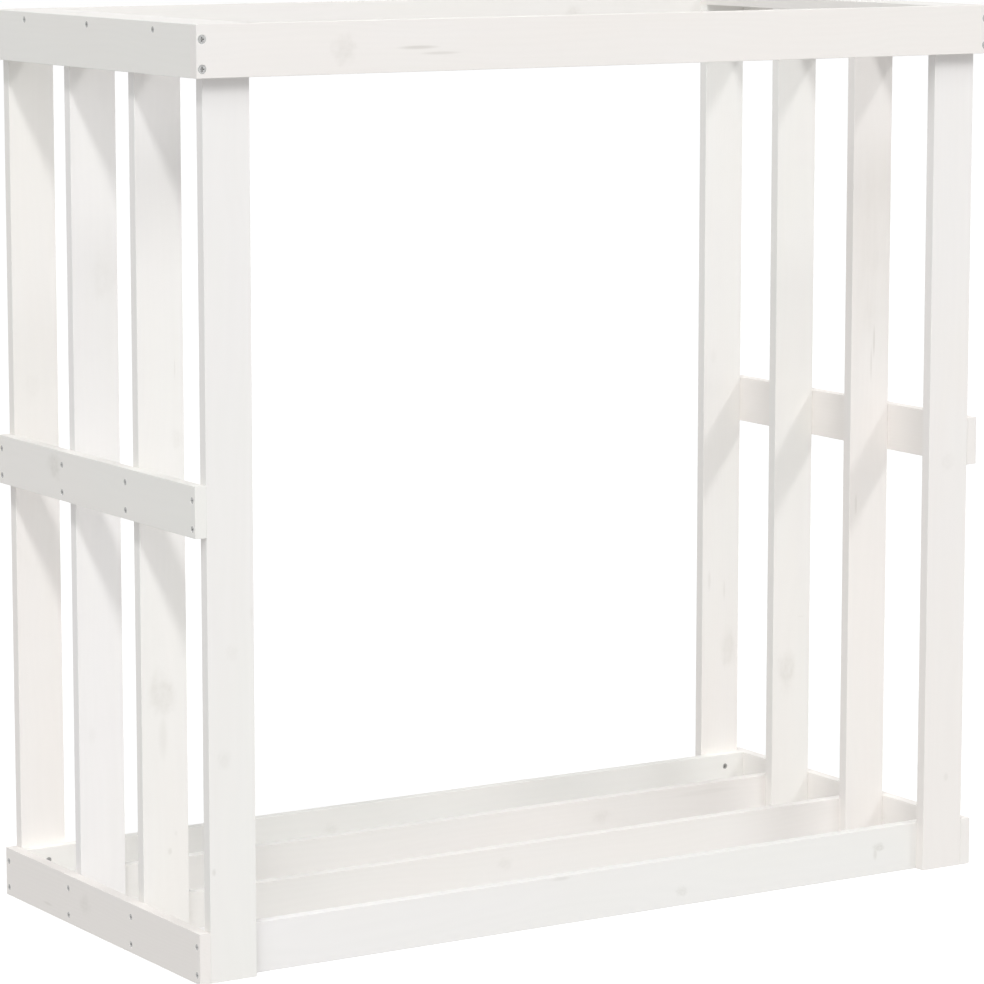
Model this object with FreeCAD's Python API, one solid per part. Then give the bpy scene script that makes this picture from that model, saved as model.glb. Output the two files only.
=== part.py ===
import FreeCAD, Part
import math
import os
from FreeCAD import Placement, Rotation, Vector

# Firewood rack: two slatted side walls, four floor rails and a top frame, all cut from one planed softwood
# board section and screwed together. X runs along the rack from left to right, Y from front to back and Z up.
# The origin is on the floor under the middle of the rack. Sizes are in millimetres.

# Overall size of the rack
rack_length = 1080.0
rack_depth = 520.0
rack_height = 1060.0

# Section shared by every board, with eased long edges
board_width = 58.0
board_thickness = 14.0
edge_radius = 1.5

# Height of the middle rails' centre line above the floor
middle_rail_centre = 530.0

# Places of the two screws across a rail, from its top edge and from its bottom edge
rail_screw_top_margin = 16.0
rail_screw_foot_margin = 10.0
# Screws into the edge of a top board sit a little below the middle of its thickness
edge_screw_offset = 2.0
# The two screws into the end of a post stand this far from its narrow edges
post_end_screw_margin = 14.0

# Thin countersunk wood screws
thin_screw_diameter = 3.5
thin_root_diameter = 2.4
thin_head_diameter = 7.0
thin_thread_pitch = 1.8
thin_recess_length = 3.6
thin_recess_width = 0.9
thin_recess_depth = 1.4

# Stout countersunk wood screws at the corners of the top frame
stout_screw_diameter = 5.0
stout_root_diameter = 3.4
stout_head_diameter = 10.0
stout_thread_pitch = 2.5
stout_recess_length = 5.4
stout_recess_width = 1.3
stout_recess_depth = 2.2

# Details shared by both kinds of screw: the head's upright rim, its depth below the face, and the tapered point
head_rim = 0.4
head_sink = 0.4
point_length = 4.0

# Depth that each screw reaches into the second board, and the wood kept in front of a floor screw's point
side_screw_bite = 16.0
post_end_screw_bite = 26.0
corner_screw_bite = 36.0
point_cover = 3.0

# Room around a screw in its hole
hole_clearance = 0.1

# Planes that the boards share
left_outside = -rack_length / 2
left_inside = left_outside + board_thickness
right_outside = rack_length / 2
right_inside = right_outside - board_thickness
front_outside = -rack_depth / 2
front_inside = front_outside + board_thickness
back_outside = rack_depth / 2
back_inside = back_outside - board_thickness
post_top = rack_height - board_thickness

# Rows of posts from front to back, evenly spaced between the top frame's front and back rails
row_names = ["front", "mid_front", "mid_back", "back"]
row_pitch = (back_inside - front_inside - board_thickness) / (len(row_names) - 1)
row_fronts = [front_inside + place * row_pitch for place in range(len(row_names))]
row_centres = [front + board_thickness / 2 for front in row_fronts]

# Directions in which screws are driven
RIGHTWARD = Vector(1, 0, 0)
LEFTWARD = Vector(-1, 0, 0)
BACKWARD = Vector(0, 1, 0)
FORWARD = Vector(0, -1, 0)
DOWNWARD = Vector(0, 0, -1)

# Axis that screws are turned about before they are put in place
ORIGIN = Vector(0, 0, 0)
SCREW_AXIS = Vector(0, 0, 1)

boards = {}
holes = {}
screws = {}


class ScrewKind:
    """A countersunk wood screw and its hole, drawn with the head's top at the origin and the point on +Z."""

    def __init__(self, length, diameters, pitch, recess):
        self.length = length
        self.thread_radius, self.root_radius, self.head_radius = (diameter / 2 for diameter in diameters)
        self.pitch = pitch
        self.recess_length, self.recess_width, self.recess_depth = recess
        self.head_foot = head_rim + self.head_radius - self.root_radius
        self.thread_foot = length - point_length
        self.solid = self.make_screw()
        self.hole = self.make_hole()

    def make_screw(self):
        """Turn the head, the ridged thread and the point, then press the cross recess into the head."""
        ridges = int((self.thread_foot - self.head_foot) / self.pitch)
        step = (self.thread_foot - self.head_foot) / ridges
        profile = [
            (0, 0),
            (self.head_radius, 0),
            (self.head_radius, head_rim),
            (self.root_radius, self.head_foot),
        ]
        for ridge in range(ridges):
            start = self.head_foot + ridge * step
            profile.append((self.thread_radius, start + step / 2))
            profile.append((self.root_radius, start + step))
        profile.append((0, self.length))
        return turned(profile).cut([self.recess_bar(0), self.recess_bar(90)])

    def recess_bar(self, angle):
        """One bar of the cross recess, as long as the cross and as deep as the recess."""
        corner = Vector(-self.recess_length / 2, -self.recess_width / 2, 0)
        bar = Part.makeBox(self.recess_length, self.recess_width, self.recess_depth, corner)
        bar.rotate(ORIGIN, SCREW_AXIS, angle)
        return bar

    def make_hole(self):
        """Hole that takes the screw with its clearance and opens past the face that the head is sunk under."""
        head = self.head_radius + hole_clearance
        thread = self.thread_radius + hole_clearance
        cone_foot = head_rim + self.head_radius - self.thread_radius
        mouth = -2 * head_sink
        profile = [
            (0, mouth),
            (head, mouth),
            (head, head_rim + hole_clearance),
            (thread, cone_foot + hole_clearance),
            (thread, self.thread_foot + hole_clearance),
            (0, self.length + hole_clearance),
        ]
        return turned(profile)


def turned(profile):
    """Solid turned about the screw axis from a list of (radius, height) points."""
    points = [Vector(radius, 0, height) for radius, height in profile]
    outline = Part.makePolygon(points + points[:1])
    return Part.Face(outline).revolve(ORIGIN, SCREW_AXIS, 360)


def thin_screw(length):
    """Thin wood screw of a given length."""
    diameters = (thin_screw_diameter, thin_root_diameter, thin_head_diameter)
    recess = (thin_recess_length, thin_recess_width, thin_recess_depth)
    return ScrewKind(length, diameters, thin_thread_pitch, recess)


def stout_screw(length):
    """Stout wood screw of a given length."""
    diameters = (stout_screw_diameter, stout_root_diameter, stout_head_diameter)
    recess = (stout_recess_length, stout_recess_width, stout_recess_depth)
    return ScrewKind(length, diameters, stout_thread_pitch, recess)


side_screw = thin_screw(board_thickness + side_screw_bite)
post_end_screw = thin_screw(board_thickness + post_end_screw_bite)
floor_screw = thin_screw(2 * board_thickness - point_cover)
corner_screw = stout_screw(board_thickness + corner_screw_bite)


def add_board(name, low, high):
    """Planed board between two corners, with the edges along its length eased."""
    size = Vector(*high) - Vector(*low)
    blank = Part.makeBox(size.x, size.y, size.z, Vector(*low))
    long_edges = [edge for edge in blank.Edges if math.isclose(edge.Length, max(size))]
    boards[name] = blank.makeFillet(edge_radius, long_edges)
    holes[name] = []


def add_screw(group, kind, place, direction, joined):
    """Screw driven from a place on a board's face, with its hole in each board that it joins."""
    head = Vector(*place) + direction * head_sink
    placement = Placement(head, Rotation(SCREW_AXIS, direction))
    screw = kind.solid.copy()
    screw.Placement = placement
    screws.setdefault(group, []).append(screw)
    for name in joined:
        hole = kind.hole.copy()
        hole.Placement = placement
        holes[name].append(hole)


def rail_screw_heights(rail_foot):
    """Heights of the upper and the lower screw in a rail that stands on edge at rail_foot."""
    return [rail_foot + board_width - rail_screw_top_margin, rail_foot + rail_screw_foot_margin]


def make_side_wall(side, outside, inside, inward):
    """Posts, the flat board on their tops and three outer rails, for the left or the right side."""
    post_left, post_right = sorted([inside, inside + inward.x * board_width])
    rail_left, rail_right = sorted([outside, inside])
    rail_feet = {
        "bottom": 0,
        "middle": middle_rail_centre - board_width / 2,
        "top": rack_height - board_width,
    }
    for row, front in zip(row_names, row_fronts):
        add_board(f"{side}_{row}_post", (post_left, front, 0), (post_right, front + board_thickness, post_top))
    add_board(f"{side}_top_board", (post_left, front_inside, post_top), (post_right, back_inside, rack_height))
    for rail, foot in rail_feet.items():
        high = (rail_right, back_inside, foot + board_width)
        add_board(f"{side}_{rail}_rail", (rail_left, front_inside, foot), high)

    for rail in ("bottom", "middle"):
        for row, centre in zip(row_names, row_centres):
            for height in rail_screw_heights(rail_feet[rail]):
                place = (outside, centre, height)
                joined = [f"{side}_{rail}_rail", f"{side}_{row}_post"]
                add_screw(f"{side}_{rail}_rail_screws", side_screw, place, inward, joined)

    edge_height = rack_height - board_thickness / 2 - edge_screw_offset
    for near, far in zip(row_centres, row_centres[1:]):
        place = (outside, (near + far) / 2, edge_height)
        joined = [f"{side}_top_rail", f"{side}_top_board"]
        add_screw(f"{side}_top_rail_screws", side_screw, place, inward, joined)

    for row, centre in zip(row_names, row_centres):
        for across in (post_left + post_end_screw_margin, post_right - post_end_screw_margin):
            place = (across, centre, rack_height)
            joined = [f"{side}_top_board", f"{side}_{row}_post"]
            add_screw(f"{side}_top_board_screws", post_end_screw, place, DOWNWARD, joined)


def make_floor():
    """Floor rails on edge: the back one in front of its posts, each of the others behind its own."""
    post_middles = {"left": left_inside + board_width / 2, "right": right_inside - board_width / 2}
    for row, front in zip(row_names, row_fronts):
        if row == "back":
            rail_front = front - board_thickness
            free_face = rail_front
            driven = BACKWARD
        else:
            rail_front = front + board_thickness
            free_face = rail_front + board_thickness
            driven = FORWARD
        rail = f"{row}_floor_rail"
        add_board(rail, (left_inside, rail_front, 0), (right_inside, rail_front + board_thickness, board_width))
        for side, middle in post_middles.items():
            for height in rail_screw_heights(0):
                joined = [rail, f"{side}_{row}_post"]
                add_screw(f"{rail}_screws", floor_screw, (middle, free_face, height), driven, joined)


def make_top_frame():
    """Front and back rails that cover the ends of the top side rails, screwed into their end grain."""
    foot = rack_height - board_width
    end_middles = {"left": (left_outside + left_inside) / 2, "right": (right_inside + right_outside) / 2}
    for name, outside, inside, driven in [
        ("front", front_outside, front_inside, BACKWARD),
        ("back", back_outside, back_inside, FORWARD),
    ]:
        near, far = sorted([outside, inside])
        rail = f"top_{name}_rail"
        add_board(rail, (left_outside, near, foot), (right_outside, far, rack_height))
        for side, middle in end_middles.items():
            for height in rail_screw_heights(foot):
                joined = [rail, f"{side}_top_rail"]
                add_screw("top_corner_screws", corner_screw, (middle, outside, height), driven, joined)


make_side_wall("left", left_outside, left_inside, RIGHTWARD)
make_side_wall("right", right_outside, right_inside, LEFTWARD)
make_floor()
make_top_frame()

os.makedirs("parts", exist_ok=True)
for name, board in boards.items():
    drilled = board.cut(holes[name])
    drilled.exportStep(f"parts/{name}.step")
for name, group in screws.items():
    Part.makeCompound(group).exportStep(f"parts/{name}.step")
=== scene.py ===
import functools
import logging
import math
from collections.abc import Sequence
from dataclasses import dataclass, field
from enum import Enum

import bpy
import numpy as np
from mathutils import Matrix, Vector


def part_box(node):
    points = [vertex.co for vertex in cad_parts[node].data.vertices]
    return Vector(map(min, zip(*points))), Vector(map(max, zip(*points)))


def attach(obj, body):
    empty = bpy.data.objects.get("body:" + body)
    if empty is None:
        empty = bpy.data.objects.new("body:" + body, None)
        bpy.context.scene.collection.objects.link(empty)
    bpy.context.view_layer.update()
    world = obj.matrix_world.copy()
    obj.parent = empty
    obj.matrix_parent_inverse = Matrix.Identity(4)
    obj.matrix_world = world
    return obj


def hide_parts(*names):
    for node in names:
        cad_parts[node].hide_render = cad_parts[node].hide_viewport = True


# Looks of a firewood rack of white-lacquered softwood boards held by zinc-plated screws, in a white studio.
# X runs along the rack from left to right, Y from front to back and Z up. Sizes are in metres.

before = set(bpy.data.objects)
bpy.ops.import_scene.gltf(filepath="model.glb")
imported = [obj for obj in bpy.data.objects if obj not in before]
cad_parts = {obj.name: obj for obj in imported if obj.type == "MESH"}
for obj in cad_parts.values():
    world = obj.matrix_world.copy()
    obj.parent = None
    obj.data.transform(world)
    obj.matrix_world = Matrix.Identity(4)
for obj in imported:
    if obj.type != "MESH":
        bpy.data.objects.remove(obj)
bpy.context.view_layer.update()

LOG = logging.getLogger("firewood_rack")
BODY = "root"
MILLIMETRE = 0.001
HALF = 0.5

Colour = tuple[float, float, float, float]
WHITE: Colour = (1.0, 1.0, 1.0, 1.0)

# Standard display curve: a straight foot up to a bend, then a power
DISPLAY_WHITE = 255
CURVE_BEND = 0.04045
CURVE_SLOPE = 12.92
CURVE_LIFT = 0.055
CURVE_POWER = 2.4

# Places of a Mix node's two colour inputs and of its colour output
MIX_FIRST = 6
MIX_SECOND = 7
MIX_RESULT = 2


class Axis(Enum):
    """Axis of the rack's frame, by its place in a vector."""

    X = 0
    Y = 1
    Z = 2


class Side(Enum):
    """Side wall of the rack, by the word that its pieces' names start with."""

    LEFT = "left"
    RIGHT = "right"


class Row(Enum):
    """Row of posts from front to back, by the word in its pieces' names."""

    FRONT = "front"
    MID_FRONT = "mid_front"
    MID_BACK = "mid_back"
    BACK = "back"


class Level(Enum):
    """Height of a side rail, by the word in its name."""

    BOTTOM = "bottom"
    MIDDLE = "middle"
    TOP = "top"


class Facing(Enum):
    """Which of a board's two broad faces takes the screw heads, by the sign of its direction."""

    LOW = -1
    HIGH = 1


class MarkKind(Enum):
    """Kind of mark in the timber."""

    KNOT = "knot"
    STREAK = "streak"


class Value:
    """Output socket of a shader node, on which Python's operators add Math nodes."""

    def __init__(self, sheet: "NodeSheet", socket: bpy.types.NodeSocket) -> None:
        """Wrap one output socket of a sheet of nodes."""
        self.sheet = sheet
        self.socket = socket

    def __add__(self, other: "Value | float") -> "Value":
        """This value plus another."""
        return self.sheet.maths("ADD", self, other)

    def __radd__(self, other: float) -> "Value":
        """A number plus this value."""
        return self.sheet.maths("ADD", other, self)

    def __sub__(self, other: "Value | float") -> "Value":
        """This value less another."""
        return self.sheet.maths("SUBTRACT", self, other)

    def __rsub__(self, other: float) -> "Value":
        """A number less this value."""
        return self.sheet.maths("SUBTRACT", other, self)

    def __mul__(self, other: "Value | float") -> "Value":
        """This value times another."""
        return self.sheet.maths("MULTIPLY", self, other)

    def __rmul__(self, other: float) -> "Value":
        """A number times this value."""
        return self.sheet.maths("MULTIPLY", other, self)

    def __pow__(self, power: "Value | float") -> "Value":
        """This value raised to a power."""
        return self.sheet.maths("POWER", self, power)

    def __rpow__(self, base: float) -> "Value":
        """A number raised to this value."""
        return self.sheet.maths("POWER", base, self)

    def sine(self) -> "Value":
        """Sine of this value, in radians."""
        return self.sheet.maths("SINE", self)

    def size(self) -> "Value":
        """This value without its sign."""
        return self.sheet.maths("ABSOLUTE", self)

    def larger(self, other: "Value | float") -> "Value":
        """The larger of this value and another."""
        return self.sheet.maths("MAXIMUM", self, other)


class NodeSheet:
    """Shader nodes of one material or of the world."""

    def __init__(self, tree: bpy.types.NodeTree) -> None:
        """Take over a node tree and clear it."""
        self.tree = tree
        tree.nodes.clear()

    def node(
        self,
        kind: str,
        settings: dict[str, object] | None = None,
        sockets: dict[str | int, object] | None = None,
    ) -> bpy.types.Node:
        """Add a node of any kind, with its settings made before its sockets are filled.

        Args:
            kind: Type of the node.
            settings: Properties of the node by name.
            sockets: Values, or Value links, by the input's name or place.

        Returns:
            The new node.
        """
        made = self.tree.nodes.new(kind)
        for name, setting in (settings or {}).items():
            setattr(made, name, setting)
        for place, content in (sockets or {}).items():
            if isinstance(content, Value):
                self.tree.links.new(content.socket, made.inputs[place])
            else:
                made.inputs[place].default_value = content
        return made

    def output(self, made: bpy.types.Node, name: str | int = 0) -> Value:
        """One output of a node, wrapped for expressions."""
        return Value(self, made.outputs[name])

    def maths(self, operation: str, *operands: Value | float) -> Value:
        """Result of one Math node on values or numbers."""
        made = self.node("ShaderNodeMath", {"operation": operation}, dict(enumerate(operands)))
        return self.output(made)

    def point(self, x: Value | float, y: Value | float, z: Value | float) -> Value:
        """Vector of three values."""
        return self.output(self.node("ShaderNodeCombineXYZ", None, {"X": x, "Y": y, "Z": z}))

    def noise(self, place: Value, detail: float, roughness: float) -> Value:
        """Noise from about 0 to 1 at a place that is already scaled."""
        sockets = {"Vector": place, "Scale": 1.0, "Detail": detail, "Roughness": roughness}
        return self.output(self.node("ShaderNodeTexNoise", None, sockets), "Fac")

    def ease(self, value: Value, start: float, end: float) -> Value:
        """Smooth step that is 0 at start and 1 at end."""
        sockets = {"Value": value, "From Min": start, "From Max": end}
        return self.output(self.node("ShaderNodeMapRange", {"interpolation_type": "SMOOTHSTEP"}, sockets))

    def mix(self, share: Value, first: object, second: object) -> Value:
        """Colour that goes from the first to the second as the share goes from 0 to 1."""
        sockets = {"Factor": share, MIX_FIRST: first, MIX_SECOND: second}
        return self.output(self.node("ShaderNodeMix", {"data_type": "RGBA"}, sockets), MIX_RESULT)

    def scaled(self, colour: Value, share: Value) -> Value:
        """Colour made lighter or darker by a share."""
        sockets = {0: colour, "Scale": share}
        return self.output(self.node("ShaderNodeVectorMath", {"operation": "SCALE"}, sockets))

    def surface(self, shader: Value) -> None:
        """Send a shader to the material's output."""
        self.node("ShaderNodeOutputMaterial", None, {"Surface": shader})


def linear(red: int, green: int, blue: int) -> Colour:
    """Colour as shaders take it, from its display values of 0 to 255, by the standard display curve.

    Args:
        red, green, blue: Display values of the colour.

    Returns:
        The linear colour, opaque.
    """
    display = np.array([red, green, blue]) / DISPLAY_WHITE
    curved = ((display + CURVE_LIFT) / (1 + CURVE_LIFT)) ** CURVE_POWER
    light = np.where(display <= CURVE_BEND, display / CURVE_SLOPE, curved)
    return (*light.tolist(), 1.0)


@dataclass(frozen=True)
class ScrewSeat:
    """Countersunk hole that holds a screw's sunk head, set into a square patch of a board's face."""

    head_radius: float
    thread_radius: float
    patch: float
    head_sink: float = 0.0004
    head_rim: float = 0.0004
    clearance: float = 0.0001
    lip: float = 0.00015
    hole_depth: float = 0.008

    def profile(self) -> tuple[np.ndarray, np.ndarray]:
        """Section of the hole, ring by ring: floor, straight hole, cone, upright mouth, lip and patch.

        Returns:
            Radius of each ring and its depth below the face.
        """
        hole = self.thread_radius + self.clearance
        mouth = self.head_radius + self.clearance
        cone_top = self.head_sink + self.head_rim + self.clearance
        cone_foot = cone_top + self.head_radius - self.thread_radius
        radius = np.array([0, hole, hole, mouth, mouth, mouth + self.lip, self.patch])
        depth = np.array([self.hole_depth, self.hole_depth, cone_foot, cone_top, self.lip, 0, 0])
        return radius, depth

    def lines(self, centre: float) -> np.ndarray:
        """Places of the grid lines that cross the patch around a centre."""
        rings = len(self.profile()[0]) - 1
        return centre + np.linspace(-self.patch, self.patch, 2 * rings + 1)

    def turned(self) -> tuple[np.ndarray, np.ndarray, np.ndarray]:
        """Turn the section about the screw's axis on a square grid.

        The ring of a grid point is the larger of its two counts from the middle. Points of one ring share the
        radius and depth of the section there, at even angles round the ring. The last ring stays square.

        Returns:
            Offset along the board, offset across it and depth below its face, as square arrays.
        """
        radius, depth = self.profile()
        rings = len(radius) - 1
        count = np.arange(-rings, rings + 1)
        along, across = np.meshgrid(count, count, indexing="ij")
        ring = np.maximum(np.abs(along), np.abs(across))
        lengthwise = np.abs(along) >= np.abs(across)
        longer = np.where(lengthwise, along, across)
        shorter = np.where(lengthwise, across, along)
        eighth_turn = np.pi / 4
        angle = eighth_turn * shorter / np.where(longer == 0, 1, longer)
        reach = np.sign(longer) * radius[ring]
        round_long = reach * np.cos(angle)
        round_short = reach * np.sin(angle)
        square = ring == rings
        round_along = np.where(lengthwise, round_long, round_short)
        round_across = np.where(lengthwise, round_short, round_long)
        offset_along = np.where(square, self.patch * along / rings, round_along)
        offset_across = np.where(square, self.patch * across / rings, round_across)
        return offset_along, offset_across, depth[ring]


@dataclass(frozen=True)
class Mark:
    """Knot or streak that shows faintly through the lacquer, or a patch of painted shadow drawn the same way,
    placed from a board's low end and low edge.

    Sizes are in millimetres: the mark's place, then its whole length along the grain and width across it.
    """

    along: float
    across: float
    length: float
    width: float
    strength: float
    kind: MarkKind = MarkKind.STREAK


@dataclass(frozen=True)
class Timber:
    """Timber of one board as it shows through the lacquer: its marks, and its tint at its low and high ends.

    A tint is given as the share of rosy and of cool white at each end. What is left is creamy white.
    """

    marks: tuple[Mark, ...]
    rosy: tuple[float, float] = (0.4, 0.6)
    cool: tuple[float, float] = (0.2, 0.2)


@dataclass
class Board:
    """Planed board: a rectangle with eased corners, carried along the board and drawn in at both ends."""

    name: str
    facing: Facing = Facing.HIGH
    seat: ScrewSeat | None = None
    seats: Sequence[tuple[float, float]] = ()
    edge_radius: float = 0.0005
    end_ease: float = 0.0002
    support: float = 0.0003
    arc_points: int = 4
    face_lines: int = 9
    station_spacing: float = 0.03
    relief: float = 0.0001
    slow_wave: float = 0.43
    quick_wave: float = 0.17
    slow_share: float = 0.6
    wave_turn: float = 30.0
    crease_angle: float = math.radians(35)
    low: np.ndarray = field(init=False)
    high: np.ndarray = field(init=False)

    def __post_init__(self) -> None:
        """Take the board's corners from its node, and its length, width and thickness axes from its sizes."""
        self.low, self.high = (np.array(corner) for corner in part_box(self.name))
        size = self.high - self.low
        self.thick, self.wide, self.run = (int(place) for place in np.argsort(size))
        self.centre = (self.low + self.high) / 2
        self.half_length, self.half_width, self.half_thickness = size[[self.run, self.wide, self.thick]] / 2
        self.timber = TIMBER[self.name]
        self.seed = sum(ord(letter) * (place + 1) for place, letter in enumerate(self.name))

    def cross_lines(self) -> np.ndarray:
        """Places across a broad face that the lengthwise grid lines follow.

        Returns:
            The places from the board's middle, from the high edge to the low one.
        """
        reach = self.half_width - self.edge_radius - self.support
        return self.with_seats(np.linspace(-reach, reach, self.face_lines), self.wide)[::-1]

    def stations(self) -> tuple[np.ndarray, np.ndarray]:
        """Places along the board and how far the section is drawn in at each of them.

        Each end is a flat cap, then a quarter circle of the end's easing, then the full section.

        Returns:
            Distance from the middle of the board and inset of the section, at each station.
        """
        half = self.half_length
        turn = np.linspace(0, np.pi / 2, self.arc_points)
        rise = self.end_ease * (1 - np.cos(turn))
        inset = self.end_ease * (1 - np.sin(turn))
        reach = half - self.end_ease - self.support
        plain = np.linspace(-reach, reach, int(2 * half / self.station_spacing))
        middle = self.with_seats(plain, self.run)
        places = np.concatenate([[-half], rise - half, middle, half - rise[::-1], [half]])
        cap_inset = [self.end_ease + self.support]
        insets = np.concatenate([cap_inset, inset, np.zeros(len(middle)), inset[::-1], cap_inset])
        return places, insets

    def with_seats(self, plain: np.ndarray, axis: int) -> np.ndarray:
        """Grid lines along one axis, with the evenly spaced ones giving way to those around the screw seats.

        Args:
            plain: Evenly spaced places of the lines, from the board's middle.
            axis: Axis of the rack's frame that the places are on.

        Returns:
            Places of all lines, in order.
        """
        if self.seat is None:
            return plain
        places = sorted({spot[0 if axis == self.run else 1] - self.centre[axis] for spot in self.seats})
        for place in places:
            plain = plain[np.abs(plain - place) > self.seat.patch + self.support]
        return np.sort(np.concatenate([plain, *(self.seat.lines(place) for place in places)]))

    def section(self) -> tuple[np.ndarray, np.ndarray]:
        """Closed outline of the board's section with eased corners, and the outward direction at each point.

        It starts at the high edge of the face with the screw heads and goes round towards its low edge, so
        the points on that face come first after the first quarter circle.

        Returns:
            Points and directions as (across, through) pairs.
        """
        flat_width = self.half_width - self.edge_radius
        flat_thickness = self.half_thickness - self.edge_radius
        turn = np.linspace(0, np.pi / 2, self.arc_points)
        across = self.cross_lines()
        through = np.array([flat_thickness - self.support, 0.0, self.support - flat_thickness])
        reach = (self.half_thickness, self.half_width)
        points = []
        directions = []
        sides = [(1, 1, across), (-1, 1, through), (-1, -1, -across), (1, -1, -through)]
        for quarter, (side_across, side_through, line) in enumerate(sides):
            angle = turn + quarter * np.pi / 2
            arrow = np.stack([np.cos(angle), np.sin(angle)], axis=1)
            corner = np.array([side_across * flat_width, side_through * flat_thickness])
            normal = np.array([np.cos(angle[-1]), np.sin(angle[-1])])
            straight = np.empty((len(line), 2))
            lengthwise = quarter % 2
            straight[:, lengthwise] = line
            straight[:, 1 - lengthwise] = normal[1 - lengthwise] * reach[lengthwise]
            points += [corner + self.edge_radius * arrow, straight]
            directions += [arrow, np.tile(normal, (len(line), 1))]
        return np.concatenate(points), np.concatenate(directions)

    def surface(self) -> np.ndarray:
        """Grid of the whole board: the section at every station, less its inset and a slight planed relief.

        The relief is a slow and a quick sine wave along the board, the slow one turning with the place across
        it. It lies between 0 and the greatest relief, and is only ever taken off the board.

        Returns:
            Points as stations by section places by (along, across, through), from the board's middle.
        """
        outline, outward = self.section()
        places, insets = self.stations()
        phase = np.random.default_rng(self.seed).uniform(0, 2 * np.pi, 2)
        turns = 2 * np.pi * places[:, None]
        slow = np.sin(turns / self.slow_wave + self.wave_turn * outline[None, :, 0] + phase[0])
        quick = np.sin(turns / self.quick_wave + phase[1])
        wave = (1 + self.slow_share * slow + (1 - self.slow_share) * quick) / 2
        taken = insets[:, None] + self.relief * wave
        grid = np.empty((len(places), len(outline), 3))
        grid[..., 0] = places[:, None]
        grid[..., 1:] = outline[None] - taken[..., None] * outward[None]
        if self.seat is not None:
            self.sink_seats(grid)
        return grid

    def sink_seats(self, grid: np.ndarray) -> None:
        """Press the screw seats into the face with the heads, in place.

        Args:
            grid: Points of the board as surface gives them.
        """
        offset_along, offset_across, depth = self.seat.turned()
        span = len(depth)
        places = self.stations()[0]
        across = self.cross_lines()
        for spot_along, spot_across in self.seats:
            along_centre = spot_along - self.centre[self.run]
            across_centre = spot_across - self.centre[self.wide]
            first = np.argmin(np.abs(places - along_centre + self.seat.patch))
            start = self.arc_points + np.argmin(np.abs(across - across_centre - self.seat.patch))
            block = grid[first:first + span, start:start + span]
            block[..., 0] = along_centre + offset_along
            block[..., 1] = across_centre - offset_across
            block[..., 2] -= depth

    def mesh(self) -> bpy.types.Mesh:
        """Closed mesh of the board, at its place in the rack.

        Returns:
            The mesh, with quads between stations and one flat face on each end.
        """
        local = self.surface()
        stations, around = local.shape[:2]
        vertices = np.tile(self.centre, (stations * around, 1))
        flat = local.reshape(-1, 3)
        vertices[:, self.run] += flat[:, 0]
        vertices[:, self.wide] += flat[:, 1]
        vertices[:, self.thick] += self.facing.value * flat[:, 2]
        index = np.arange(stations * around).reshape(stations, around)
        following = np.roll(index, -1, axis=1)
        quads = np.stack([index[:-1], following[:-1], following[1:], index[1:]], axis=-1).reshape(-1, 4)
        ends = [index[0, ::-1], index[-1]]
        axes = np.zeros((3, 3))
        axes[[0, 1, 2], [self.run, self.wide, self.thick]] = (1, 1, self.facing.value)
        if np.linalg.det(axes) < 0:
            quads = quads[:, ::-1]
            ends = [end[::-1] for end in ends]
        made = bpy.data.meshes.new(self.name)
        made.from_pydata(vertices.tolist(), [], quads.tolist() + [end.tolist() for end in ends])
        made.shade_smooth()
        made.set_sharp_from_angle(angle=self.crease_angle)
        return made

    def build(self, lacquer: "WhiteLacquer") -> bpy.types.Object:
        """Make the board's object in place of its node and lacquer it.

        Args:
            lacquer: Finish of the board.

        Returns:
            The board's object.
        """
        piece = bpy.data.objects.new(f"{self.name}_lacquered", self.mesh())
        bpy.context.scene.collection.objects.link(piece)
        piece.data.materials.append(lacquer.material(self))
        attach(piece, BODY)
        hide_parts(self.name)
        return piece


@dataclass(frozen=True)
class Place:
    """Place on a board along, across and through its timber, from the board's middle."""

    along: Value
    across: Value
    through: Value


@dataclass(frozen=True)
class Figure:
    """Patterns of a board's timber, each from about 0 to 1: growth rings, broad streaks and fine grain."""

    rings: Value
    streaks: Value
    grain: Value


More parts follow.
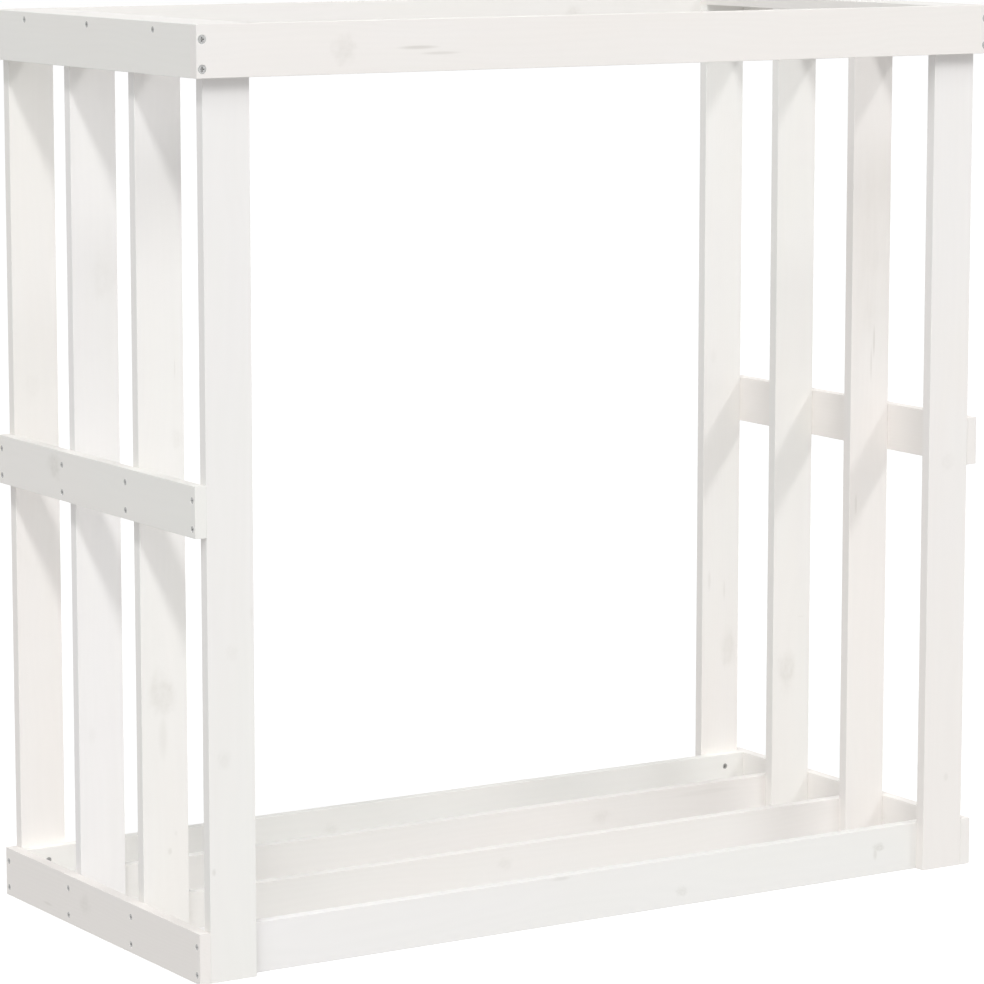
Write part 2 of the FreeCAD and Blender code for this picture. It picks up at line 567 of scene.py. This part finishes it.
@dataclass(frozen=True)
class WhiteLacquer:
    """Thin white lacquer on planed softwood, through which grain, tints and knots still show faintly, with a
    few patches of painted shadow.

    Each scale of noise is a pair: its waves per metre along the grain and across it.
    """

    slot: str = "white_lacquered_wood"
    rosy: Colour = linear(241, 237, 233)
    creamy: Colour = linear(240, 239, 235)
    cool: Colour = linear(241, 239, 238)
    # Colour the marks draw towards: real stain for knots and streaks, and painted shade for the patches that
    # stand for shadows.
    stain_and_shade: Colour = linear(176, 171, 160)
    wander_scale: tuple[float, float] = (1.6, 8.0)
    streak_scale: tuple[float, float] = (2.5, 60.0)
    grain_scale: tuple[float, float] = (14.0, 420.0)
    tint_scale: tuple[float, float] = (4.0, 12.0)
    noise_detail: float = 3.0
    noise_roughness: float = 0.55
    noise_shift: float = 50.0
    pith_across: float = 0.06
    pith_near: float = 0.02
    pith_far: float = 0.09
    ring_spacing: float = 0.0045
    ring_wander: float = 0.05
    ring_tone: float = 0.006
    streak_tone: float = 0.022
    grain_tone: float = 0.008
    tint_wander: float = 1.2
    mark_rim: float = 1.15
    mark_heart: float = 0.25
    streak_ragged: float = 0.7
    knot_ragged: float = 1.3
    knot_bends: float = 1.3
    knot_mottles: float = 2.6
    roughness: float = 0.55
    roughness_spread: float = 0.14
    stain_and_shade_roughness: float = 0.12
    specular: float = 0.25
    ring_height: float = 0.5
    streak_height: float = 0.6
    stain_and_shade_height: float = -0.8
    bump_strength: float = 0.25
    bump_distance: float = 0.0002

    def material(self, board: Board) -> bpy.types.Material:
        """Lacquer for one board, with its grain along the board and its own tint and marks.

        Args:
            board: The board to dress.

        Returns:
            The material.
        """
        made = bpy.data.materials.new(f"{board.name}_lacquer")
        made.use_nodes = True
        sheet = NodeSheet(made.node_tree)
        place = self.timber_place(sheet, board)
        figure = self.figure(sheet, board, place)
        # Share of the marks: real knots and streaks, and a few patches of painted shadow.
        stain_and_shade = self.stained_and_shaded(sheet, board, place, figure)
        uneven = self.streak_tone * (figure.streaks - HALF) + self.grain_tone * (figure.grain - HALF)
        tone = 1 + self.ring_tone * (figure.rings - HALF) + uneven
        base = sheet.scaled(self.tint(sheet, board, place), tone)
        relief = figure.grain + self.ring_height * figure.rings + self.streak_height * figure.streaks
        height = relief + self.stain_and_shade_height * stain_and_shade
        gloss = self.roughness + self.roughness_spread * (figure.streaks - HALF)
        bump_sockets = {"Strength": self.bump_strength, "Distance": self.bump_distance, "Height": height}
        shader_sockets = {
            "Base Color": sheet.mix(stain_and_shade, base, self.stain_and_shade),
            "Roughness": gloss + self.stain_and_shade_roughness * stain_and_shade,
            "Normal": sheet.output(sheet.node("ShaderNodeBump", None, bump_sockets)),
            "Specular IOR Level": self.specular,
        }
        sheet.surface(sheet.output(sheet.node("ShaderNodeBsdfPrincipled", None, shader_sockets)))
        return made

    def timber_place(self, sheet: NodeSheet, board: Board) -> Place:
        """Place on the board, from the object's own coordinates.

        Args:
            sheet: Nodes to add to.
            board: The board.

        Returns:
            The place.
        """
        spot = sheet.output(sheet.node("ShaderNodeTexCoord"), "Object")
        split = sheet.node("ShaderNodeSeparateXYZ", None, {"Vector": spot})
        axes = (board.run, board.wide, board.thick)
        return Place(*(sheet.output(split, axis) - float(board.centre[axis]) for axis in axes))

    def drawn_out(self, sheet: NodeSheet, place: Place, scale: tuple[float, float], shift: float) -> Value:
        """Noise drawn out along the grain.

        Args:
            sheet: Nodes to add to.
            place: Place on the board.
            scale: Waves per metre along the grain and across it.
            shift: Shift along the noise, so that boards differ.

        Returns:
            The noise, from about 0 to 1.
        """
        lengthwise, crosswise = scale
        across = crosswise * place.across
        spot = sheet.point(lengthwise * place.along + shift, across, crosswise * place.through)
        return sheet.noise(spot, self.noise_detail, self.noise_roughness)

    def figure(self, sheet: NodeSheet, board: Board, place: Place) -> Figure:
        """Timber's patterns: growth rings are a sine of the wandering distance from a pith outside the board.

        Args:
            sheet: Nodes to add to.
            board: The board, whose seed sets its pith and shifts its noise.
            place: Place on the board.

        Returns:
            The patterns.
        """
        draw = np.random.default_rng(board.seed)
        shift = float(draw.uniform(0, self.noise_shift))
        pith_across = float(draw.uniform(-self.pith_across, self.pith_across))
        pith_through = float(draw.uniform(self.pith_near, self.pith_far))
        wander = self.drawn_out(sheet, place, self.wander_scale, shift)
        pith = ((place.across - pith_across) ** 2 + (place.through - pith_through) ** 2) ** HALF
        turns = 2 * math.pi / self.ring_spacing * (pith + self.ring_wander * wander)
        streaks = self.drawn_out(sheet, place, self.streak_scale, -shift)
        grain = self.drawn_out(sheet, place, self.grain_scale, shift)
        return Figure(HALF + HALF * turns.sine(), streaks, grain)

    def tint(self, sheet: NodeSheet, board: Board, place: Place) -> Value:
        """Lacquer's colour, which drifts between rosy, creamy and cool white from one end to the other.

        Args:
            sheet: Nodes to add to.
            board: The board, with its tints at its ends.
            place: Place on the board.

        Returns:
            The colour.
        """
        ends = (board.timber.rosy, board.timber.cool)
        shifts = np.random.default_rng(board.seed + 1).uniform(0, self.noise_shift, len(ends))
        shares = []
        for (low, high), shift in zip(ends, shifts.tolist()):
            drift = (high - low) / (2 * float(board.half_length))
            wander = self.drawn_out(sheet, place, self.tint_scale, shift) - HALF
            shares.append((low + high) / 2 + drift * place.along + self.tint_wander * wander)
        rosy_share, cool_share = shares
        return sheet.mix(cool_share, sheet.mix(rosy_share, self.creamy, self.rosy), self.cool)

    def stained_and_shaded(self, sheet: NodeSheet, board: Board, place: Place, figure: Figure) -> Value:
        """Share of stain and painted shade that shows through, which at each place is that of the board's
        strongest mark there.

        Args:
            sheet: Nodes to add to.
            board: The board with its marks.
            place: Place on the board.
            figure: Patterns of its timber.

        Returns:
            The share, from 0 up to about the strongest mark's strength.
        """
        offsets = (float(board.half_length), float(board.half_width))
        shares = (self.marked(sheet, mark, offsets, place, figure) for mark in board.timber.marks)
        return functools.reduce(Value.larger, shares)

    def marked(
        self,
        sheet: NodeSheet,
        mark: Mark,
        offsets: tuple[float, float],
        place: Place,
        figure: Figure,
    ) -> Value:
        """Share of darkening at one mark, real stain for a knot or streak and painted shade for a mark that
        stands for a shadow, an oval whose distance is 1 on its outline.

        It fades from its heart to its rim. The timber's streaks fray a streak. Noise at the mark's own size
        bends a knot's outline and mottles it, evenly about its strength.

        Args:
            sheet: Nodes to add to.
            mark: The knot or streak.
            offsets: Half the board's length and half its width.
            place: Place on the board.
            figure: Patterns of its timber.

        Returns:
            The share, from 0 up to about the mark's strength.
        """
        half_length, half_width = offsets
        span = (place.along - (mark.along * MILLIMETRE - half_length)) * (2 / (mark.length * MILLIMETRE))
        reach = (place.across - (mark.across * MILLIMETRE - half_width)) * (2 / (mark.width * MILLIMETRE))
        distance = (span ** 2 + reach ** 2) ** HALF
        strength = mark.strength
        if mark.kind is MarkKind.KNOT:
            bend_spot = sheet.point(self.knot_bends * span, self.knot_bends * reach, mark.along)
            bends = sheet.noise(bend_spot, self.noise_detail, self.noise_roughness)
            distance = distance + self.knot_ragged * (bends - HALF)
            mottle_spot = sheet.point(self.knot_mottles * span, self.knot_mottles * reach, mark.along)
            mottles = sheet.noise(mottle_spot, self.noise_detail, self.noise_roughness)
            strength = mark.strength / HALF * mottles
        else:
            distance = distance + self.streak_ragged * (figure.streaks - HALF)
        return strength * sheet.ease(distance, self.mark_rim, self.mark_heart)


@dataclass(frozen=True)
class ZincPlate:
    """Bright zinc plating on steel, a little uneven and dulled."""

    slot: str = "zinc_plated_steel"
    bright: Colour = linear(200, 200, 200)
    dull: Colour = linear(166, 166, 164)
    roughness: float = 0.32
    roughness_spread: float = 0.25
    blotch_scale: float = 900.0
    blotch_edge: float = 0.15
    scratch_scale: tuple[float, float, float] = (2500.0, 2500.0, 9000.0)
    bump_strength: float = 0.15
    bump_distance: float = 0.00005
    noise_detail: float = 2.0
    noise_roughness: float = 0.6

    def material(self) -> bpy.types.Material:
        """Plating for every screw: blotches of bright and dull zinc, with fine scratches as bump.

        Returns:
            The material.
        """
        made = bpy.data.materials.new(self.slot)
        made.use_nodes = True
        sheet = NodeSheet(made.node_tree)
        spot = sheet.output(sheet.node("ShaderNodeTexCoord"), "Object")
        split = sheet.node("ShaderNodeSeparateXYZ", None, {"Vector": spot})
        place = [sheet.output(split, axis.value) for axis in Axis]
        blotch_spot = sheet.point(*(self.blotch_scale * value for value in place))
        scratch_spot = sheet.point(*(scale * value for scale, value in zip(self.scratch_scale, place)))
        blotch = sheet.noise(blotch_spot, self.noise_detail, self.noise_roughness)
        scratch = sheet.noise(scratch_spot, self.noise_detail, self.noise_roughness)
        bright = sheet.ease(blotch, HALF - self.blotch_edge, HALF + self.blotch_edge)
        bump_sockets = {"Strength": self.bump_strength, "Distance": self.bump_distance, "Height": scratch}
        shader_sockets = {
            "Base Color": sheet.mix(bright, self.dull, self.bright),
            "Metallic": 1.0,
            "Roughness": self.roughness + self.roughness_spread * blotch,
            "Normal": sheet.output(sheet.node("ShaderNodeBump", None, bump_sockets)),
        }
        sheet.surface(sheet.output(sheet.node("ShaderNodeBsdfPrincipled", None, shader_sockets)))
        return made


THIN_SEAT = ScrewSeat(head_radius=0.0035, thread_radius=0.00175, patch=0.005)
STOUT_SEAT = ScrewSeat(head_radius=0.005, thread_radius=0.0025, patch=0.006)

KNOT = MarkKind.KNOT

# Timber of each board: the knots and streaks that show through the lacquer, with a few patches of painted
# shadow among them, then its rosy and cool shares
TIMBER: dict[str, Timber] = {
    "left_front_post": Timber(
        (
            Mark(252, 19, 26, 20, 0.08, KNOT),
            Mark(126, 5, 10, 6, 0.2),
            Mark(371, 30, 24, 18, 0.05, KNOT),
            Mark(413, 55, 22, 5, 0.08),
        ),
        rosy=(0.1, 0.2),
        cool=(0.0, 0.9),
    ),
    "left_mid_front_post": Timber(
        (
            Mark(297, 26, 60, 40, 0.16, KNOT),
            Mark(248, 27, 62, 14, 0.12),
            Mark(114, 34, 10, 7, 0.18),
            Mark(134, 42, 8, 5, 0.1),
            Mark(668, 47, 28, 1.6, 0.18),
            Mark(588, 49, 28, 16, 0.07, KNOT),
        ),
        rosy=(0.4, 0.1),
        cool=(0.0, 0.7),
    ),
    "left_mid_back_post": Timber(
        (Mark(760, 40, 70, 36, 0.06, KNOT), Mark(222, 16, 26, 12, 0.05)),
        rosy=(0.1, 0.1),
        cool=(1.0, 0.6),
    ),
    "left_back_post": Timber((Mark(612, 24, 44, 24, 0.04, KNOT),), rosy=(1.3, 0.2), cool=(0.1, 0.0)),
    "right_front_post": Timber(
        (Mark(507, 28, 28, 24, 0.06, KNOT), Mark(114, 34, 12, 8, 0.12)),
        rosy=(1.2, 0.6),
        cool=(-0.2, 0.7),
    ),
    "right_mid_front_post": Timber(
        (
            Mark(640, 35, 58, 5, 0.3),
            Mark(612, 31, 58, 4, 0.2),
            Mark(435, 10, 30, 4, 0.18),
            # The 300 mm patch high on this post is painted shade where the top front rail's shadow falls,
            # drawn as a faint knot.
            Mark(755, 30, 300, 90, 0.09, KNOT),
            Mark(742, 36, 60, 22, 0.12),
        ),
        rosy=(1.0, 1.0),
        cool=(-0.1, 0.2),
    ),
    "right_mid_back_post": Timber(
        (Mark(196, 22, 60, 32, 0.15, KNOT), Mark(265, 44, 2, 14, 0.1)),
        rosy=(0.5, 0.1),
        cool=(0.0, 0.2),
    ),
    "right_back_post": Timber(
        (
            Mark(199, 44, 60, 32, 0.13, KNOT),
            Mark(291, 11, 32, 6, 0.12),
            Mark(276, 35, 32, 5, 0.12),
            Mark(588, 15, 26, 12, 0.06),
        ),
        rosy=(0.9, 0.0),
        cool=(0.0, 0.3),
    ),
    "top_front_rail": Timber(
        (Mark(183, 27, 34, 38, 0.12, KNOT), Mark(277, 27, 56, 5, 0.32), Mark(306, 20, 54, 4, 0.22)),
        rosy=(1.0, 1.0),
        cool=(0.3, -0.2),
    ),
    "front_floor_rail": Timber(
        (
            Mark(472, 55, 32, 6, 0.16),
            Mark(643, 17, 20, 14, 0.14, KNOT),
            Mark(936, 34, 20, 12, 0.22, KNOT),
            Mark(931, 26, 7, 16, 0.2),
        ),
        rosy=(0.1, 0.1),
        cool=(0.8, 0.0),
    ),
    "mid_front_floor_rail": Timber((Mark(494, 37, 26, 18, 0.08, KNOT),), rosy=(0.4, 1.0), cool=(-0.1, 0.1)),
    # Both marks on this rail are painted shadows: the knot at 739 mm stands for the shade of the right front
    # post, and the streak at 900 mm for that of the right mid-front post.
    "mid_back_floor_rail": Timber(
        (Mark(739, 34, 32, 20, 0.1, KNOT), Mark(900, 47, 110, 8, 0.07)),
        rosy=(0.3, 1.2),
        cool=(0.0, 0.0),
    ),
    "back_floor_rail": Timber((Mark(420, 30, 28, 20, 0.08, KNOT),), rosy=(0.1, 0.1), cool=(-0.1, 0.0)),
    "left_middle_rail": Timber((Mark(345, 38, 40, 34, 0.16, KNOT),), rosy=(0.0, 0.5), cool=(-0.2, 0.0)),
    "left_bottom_rail": Timber(
        (Mark(283, 32, 32, 28, 0.1, KNOT), Mark(380, 12, 26, 5, 0.16)),
        rosy=(1.2, 1.2),
        cool=(-0.1, -0.1),
    ),
    "left_top_rail": Timber((Mark(246, 54, 1.4, 9, 0.14),), rosy=(0.0, 0.1), cool=(-0.1, 0.0)),
    "right_bottom_rail": Timber((Mark(170, 30, 38, 26, 0.16, KNOT),), rosy=(0.8, 0.8), cool=(0.0, 0.0)),
    "right_middle_rail": Timber((Mark(390, 22, 34, 24, 0.14, KNOT),), rosy=(1.2, 1.0), cool=(0.0, 0.0)),
    "right_top_rail": Timber((Mark(120, 34, 30, 22, 0.12, KNOT),)),
    "top_back_rail": Timber((Mark(330, 24, 42, 30, 0.18, KNOT), Mark(812, 37, 30, 22, 0.12, KNOT))),
    "left_top_board": Timber((Mark(350, 24, 38, 26, 0.12, KNOT),)),
    "right_top_board": Timber((Mark(180, 36, 34, 24, 0.12, KNOT),)),
}


def centre_of(node: str) -> Vector:
    """Middle of a node's box."""
    low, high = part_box(node)
    return (low + high) / 2


@dataclass(frozen=True)
class RailScrews:
    """Places of the screws across a rail that stands on edge."""

    top_margin: float = 0.016
    foot_margin: float = 0.010
    edge_depth: float = 0.009
    post_end_margin: float = 0.014

    def heights(self, rail: str) -> tuple[float, float]:
        """Heights of the upper and the lower screw in a rail."""
        low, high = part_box(rail)
        return high.z - self.top_margin, low.z + self.foot_margin


@dataclass
class SideWall:
    """Side of the rack: four posts, the flat board on their tops and three rails on their outer edges."""

    side: Side
    screws: RailScrews = RailScrews()

    def post_names(self) -> list[str]:
        """Names of the wall's posts from front to back."""
        return [f"{self.side.value}_{row.value}_post" for row in Row]

    def build(self, lacquer: WhiteLacquer) -> list[bpy.types.Object]:
        """Make and lacquer every board of the wall.

        Args:
            lacquer: Finish of the boards.

        Returns:
            The boards' objects.
        """
        boards = [Board(name) for name in self.post_names()]
        boards.append(self.top_board())
        boards += [self.rail(level) for level in Level]
        return [board.build(lacquer) for board in boards]

    def top_board(self) -> Board:
        """Flat board on the posts' tops, with two screws into the end of each post.

        Returns:
            The board.
        """
        name = f"{self.side.value}_top_board"
        low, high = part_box(name)
        across = (low.x + self.screws.post_end_margin, high.x - self.screws.post_end_margin)
        rows = [centre_of(post).y for post in self.post_names()]
        seats = [(row, place) for row in rows for place in across]
        return Board(name, Facing.HIGH, THIN_SEAT, seats)

    def rail(self, level: Level) -> Board:
        """Rail on the posts' outer edges: two screws at each post, or on top one between each two posts.

        Args:
            level: Height of the rail.

        Returns:
            The rail's board.
        """
        name = f"{self.side.value}_{level.value}_rail"
        rows = [centre_of(post).y for post in self.post_names()]
        if level is Level.TOP:
            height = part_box(name)[1].z - self.screws.edge_depth
            seats = [((near + far) / 2, height) for near, far in zip(rows, rows[1:])]
        else:
            seats = [(row, height) for row in rows for height in self.screws.heights(name)]
        facing = Facing.LOW if self.side is Side.LEFT else Facing.HIGH
        return Board(name, facing, THIN_SEAT, seats)


@dataclass
class FloorRails:
    """Four rails on edge that carry the logs, each screwed to the feet of one row of posts."""

    screws: RailScrews = RailScrews()

    def build(self, lacquer: WhiteLacquer) -> list[bpy.types.Object]:
        """Make and lacquer the rails, with the screw heads on the face away from the posts.

        Args:
            lacquer: Finish of the boards.

        Returns:
            The rails' objects.
        """
        pieces = []
        for row in Row:
            name = f"{row.value}_floor_rail"
            places = [centre_of(f"{side.value}_{row.value}_post").x for side in Side]
            seats = [(place, height) for place in places for height in self.screws.heights(name)]
            facing = Facing.LOW if row is Row.BACK else Facing.HIGH
            pieces.append(Board(name, facing, THIN_SEAT, seats).build(lacquer))
        return pieces


@dataclass
class TopFrame:
    """Front and back rails that tie the two side walls together at the top."""

    screws: RailScrews = RailScrews()

    def build(self, lacquer: WhiteLacquer) -> list[bpy.types.Object]:
        """Make and lacquer the two rails, with stout screws into the ends of the top side rails.

        Args:
            lacquer: Finish of the boards.

        Returns:
            The rails' objects.
        """
        pieces = []
        for name, facing in (("top_front_rail", Facing.LOW), ("top_back_rail", Facing.HIGH)):
            places = [centre_of(f"{side.value}_top_rail").x for side in Side]
            seats = [(place, height) for place in places for height in self.screws.heights(name)]
            pieces.append(Board(name, facing, STOUT_SEAT, seats).build(lacquer))
        return pieces


@dataclass
class Fasteners:
    """Every group of screws, which keeps its own shape and gets its plating."""

    suffix: str = "_screws"

    def dress(self, plating: ZincPlate) -> list[bpy.types.Object]:
        """Plate the screws.

        Args:
            plating: Finish of the screws.

        Returns:
            The groups' objects.
        """
        material = plating.material()
        groups = [node for name, node in sorted(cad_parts.items()) if name.endswith(self.suffix)]
        for group in groups:
            for slot in group.material_slots:
                slot.material = material
        return groups


@dataclass(frozen=True)
class StripLamp:
    """Long narrow lamp parallel to the rack's depth, aimed square at the rack's middle line."""

    name: str
    place: tuple[float, float, float]
    length: float
    width: float
    power: float

    def build(self, target: Vector) -> bpy.types.Object:
        """Add the lamp, its length along Y and its face turned to the line through the target.

        Args:
            target: Point on the line that the lamp faces.

        Returns:
            The lamp's object.
        """
        light = bpy.data.lights.new(self.name, "AREA")
        light.shape = "RECTANGLE"
        light.size = self.width
        light.size_y = self.length
        light.energy = self.power
        lamp = bpy.data.objects.new(self.name, light)
        back = Vector(self.place) - target
        back.y = 0
        back.normalize()
        lengthwise = Vector((0, 1, 0))
        turn = Matrix((lengthwise.cross(back), lengthwise, back)).transposed()
        lamp.matrix_world = Matrix.Translation(self.place) @ turn.to_4x4()
        bpy.context.scene.collection.objects.link(lamp)
        return lamp


@dataclass(frozen=True)
class Studio:
    """White studio: pale floor, white surround, two strip lamps and the camera.

    The surround's fill light comes from a band in front, from the left and from low down on the right. The
    glow's turn is measured from straight right towards the back.
    """

    camera_place: tuple[float, float, float] = (-2.6918, -4.2920, 1.2481)
    camera_yaw: float = math.radians(32.054)
    camera_pitch: float = math.radians(8.643)
    camera_lens: float = 155.41
    camera_sensor: float = 36.0
    floor_half: float = 30.0
    floor_points: int = 9
    front_fill: float = 1.87
    front_height: float = 0.6
    front_spread: float = 0.35
    front_falloff: float = 2.0
    left_fill: float = 2.65
    left_falloff: float = 2.0
    glow_fill: float = 7.78
    glow_falloff: float = 4.0
    glow_turn: float = math.radians(35)
    floor_bounce: float = 0.57
    floor_shadow: Colour = linear(160, 160, 160)
    floor_glow: float = 0.8
    left_lamp: StripLamp = StripLamp(
        "left_strip", (-16.0, -21.2, 33.2), length=26.4, width=4.0, power=9350.0
    )
    right_lamp: StripLamp = StripLamp(
        "right_strip", (17.7, -27.2, 25.3), length=18.2, width=3.4, power=4180.0
    )
    lamp_target: tuple[float, float, float] = (0.0, 0.0, 0.75)

    def build(self) -> None:
        """Set up the floor, the surround, the lamps, the camera and the plain view of colours."""
        scene = bpy.context.scene
        scene.view_settings.view_transform = "Standard"
        self.floor()
        self.world(scene)
        for lamp in (self.left_lamp, self.right_lamp):
            lamp.build(Vector(self.lamp_target))
        scene.camera = self.camera()

    def floor(self) -> bpy.types.Object:
        """Flat square under the rack: a grid of points at height 0.

        Returns:
            The floor's object.
        """
        line = np.linspace(-self.floor_half, self.floor_half, self.floor_points)
        x, y = np.meshgrid(line, line)
        vertices = np.stack([x, y, np.zeros_like(x)], axis=-1).reshape(-1, 3)
        index = np.arange(self.floor_points ** 2).reshape(self.floor_points, self.floor_points)
        quads = np.stack([index[:-1, :-1], index[:-1, 1:], index[1:, 1:], index[1:, :-1]], axis=-1)
        mesh = bpy.data.meshes.new("studio_floor")
        mesh.from_pydata(vertices.tolist(), [], quads.reshape(-1, 4).tolist())
        mesh.materials.append(self.floor_material())
        floor = bpy.data.objects.new("studio_floor", mesh)
        bpy.context.scene.collection.objects.link(floor)
        return floor

    def seen(self, sheet: NodeSheet) -> Value:
        """Whether a ray shows the studio itself: from the camera, off gloss or through glass.

        Args:
            sheet: Nodes to add to.

        Returns:
            1 for such a ray, and 0 for one that only brings light.
        """
        path = sheet.node("ShaderNodeLightPath")
        names = ("Is Camera Ray", "Is Glossy Ray", "Is Transmission Ray")
        camera, glossy, through = (sheet.output(path, name) for name in names)
        return camera.larger(glossy).larger(through)

    def floor_material(self) -> bpy.types.Material:
        """White floor that keeps a soft shadow of the rack where it shows, and bounces an even light onto it.

        Returns:
            The material.
        """
        made = bpy.data.materials.new("white_floor")
        made.use_nodes = True
        sheet = NodeSheet(made.node_tree)
        bounce = sheet.output(sheet.node("ShaderNodeEmission", None, {"Strength": self.floor_bounce}))
        shadow = sheet.output(sheet.node("ShaderNodeBsdfDiffuse", None, {"Color": self.floor_shadow}))
        glow = sheet.output(sheet.node("ShaderNodeEmission", None, {"Strength": self.floor_glow}))
        shown = sheet.output(sheet.node("ShaderNodeAddShader", None, {0: shadow, 1: glow}))
        mixed = sheet.node("ShaderNodeMixShader", None, {0: self.seen(sheet), 1: bounce, 2: shown})
        sheet.surface(sheet.output(mixed))
        return made

    def world(self, scene: bpy.types.Scene) -> None:
        """White surround where it shows, and an uneven fill light on the rack.

        The fill from in front falls off evenly above and below its height, and the fill from the left is a
        power of how far left a direction is. Both fade towards the back. The glow is a power of how low a
        direction is and how near the glow's own.

        Args:
            scene: Scene to surround.
        """
        scene.world = bpy.data.worlds.new("white_surround")
        scene.world.use_nodes = True
        sheet = NodeSheet(scene.world.node_tree)
        direction = sheet.output(sheet.node("ShaderNodeTexCoord"), "Generated")
        split = sheet.node("ShaderNodeSeparateXYZ", None, {"Vector": direction})
        rightward, backward, upward = (sheet.output(split, axis.value) for axis in Axis)
        in_front = HALF - HALF * backward
        leftward = (0 - rightward).larger(0.0)
        height = upward.larger(0.0)
        band = (1 - (height - self.front_height).size() * (1 / self.front_spread)).larger(0.0)
        towards_glow = math.cos(self.glow_turn) * rightward + math.sin(self.glow_turn) * backward
        near_glow = (1 - height) * (HALF + HALF * towards_glow)
        ahead = self.front_fill * band + self.left_fill * leftward ** self.left_falloff
        fill = ahead * in_front ** self.front_falloff + self.glow_fill * near_glow ** self.glow_falloff
        seen = self.seen(sheet)
        strength = fill * (1 - seen) + seen
        background = sheet.node("ShaderNodeBackground", None, {"Color": WHITE, "Strength": strength})
        sheet.node("ShaderNodeOutputWorld", None, {"Surface": sheet.output(background)})

    def camera(self) -> bpy.types.Object:
        """Camera at the photograph's place: level across, turned by its yaw and tipped down by its pitch.

        Returns:
            The camera's object.
        """
        data = bpy.data.cameras.new("photograph_camera")
        data.lens = self.camera_lens
        data.sensor_width = self.camera_sensor
        camera = bpy.data.objects.new("photograph_camera", data)
        camera.location = self.camera_place
        camera.rotation_euler = (math.pi / 2 - self.camera_pitch, 0, -self.camera_yaw)
        bpy.context.scene.collection.objects.link(camera)
        return camera


def main() -> None:
    """Build the rack's sub-assemblies in order, then the studio."""
    logging.basicConfig(level=logging.INFO, format="%(message)s")
    lacquer = WhiteLacquer()
    assemblies = [SideWall(Side.LEFT), SideWall(Side.RIGHT), FloorRails(), TopFrame()]
    for assembly in assemblies:
        for piece in assembly.build(lacquer):
            LOG.info("%s: %d faces", piece.name, len(piece.data.polygons))
    for group in Fasteners().dress(ZincPlate()):
        LOG.info("%s: plated", group.name)
    Studio().build()


if __name__ == "__main__":
    main()
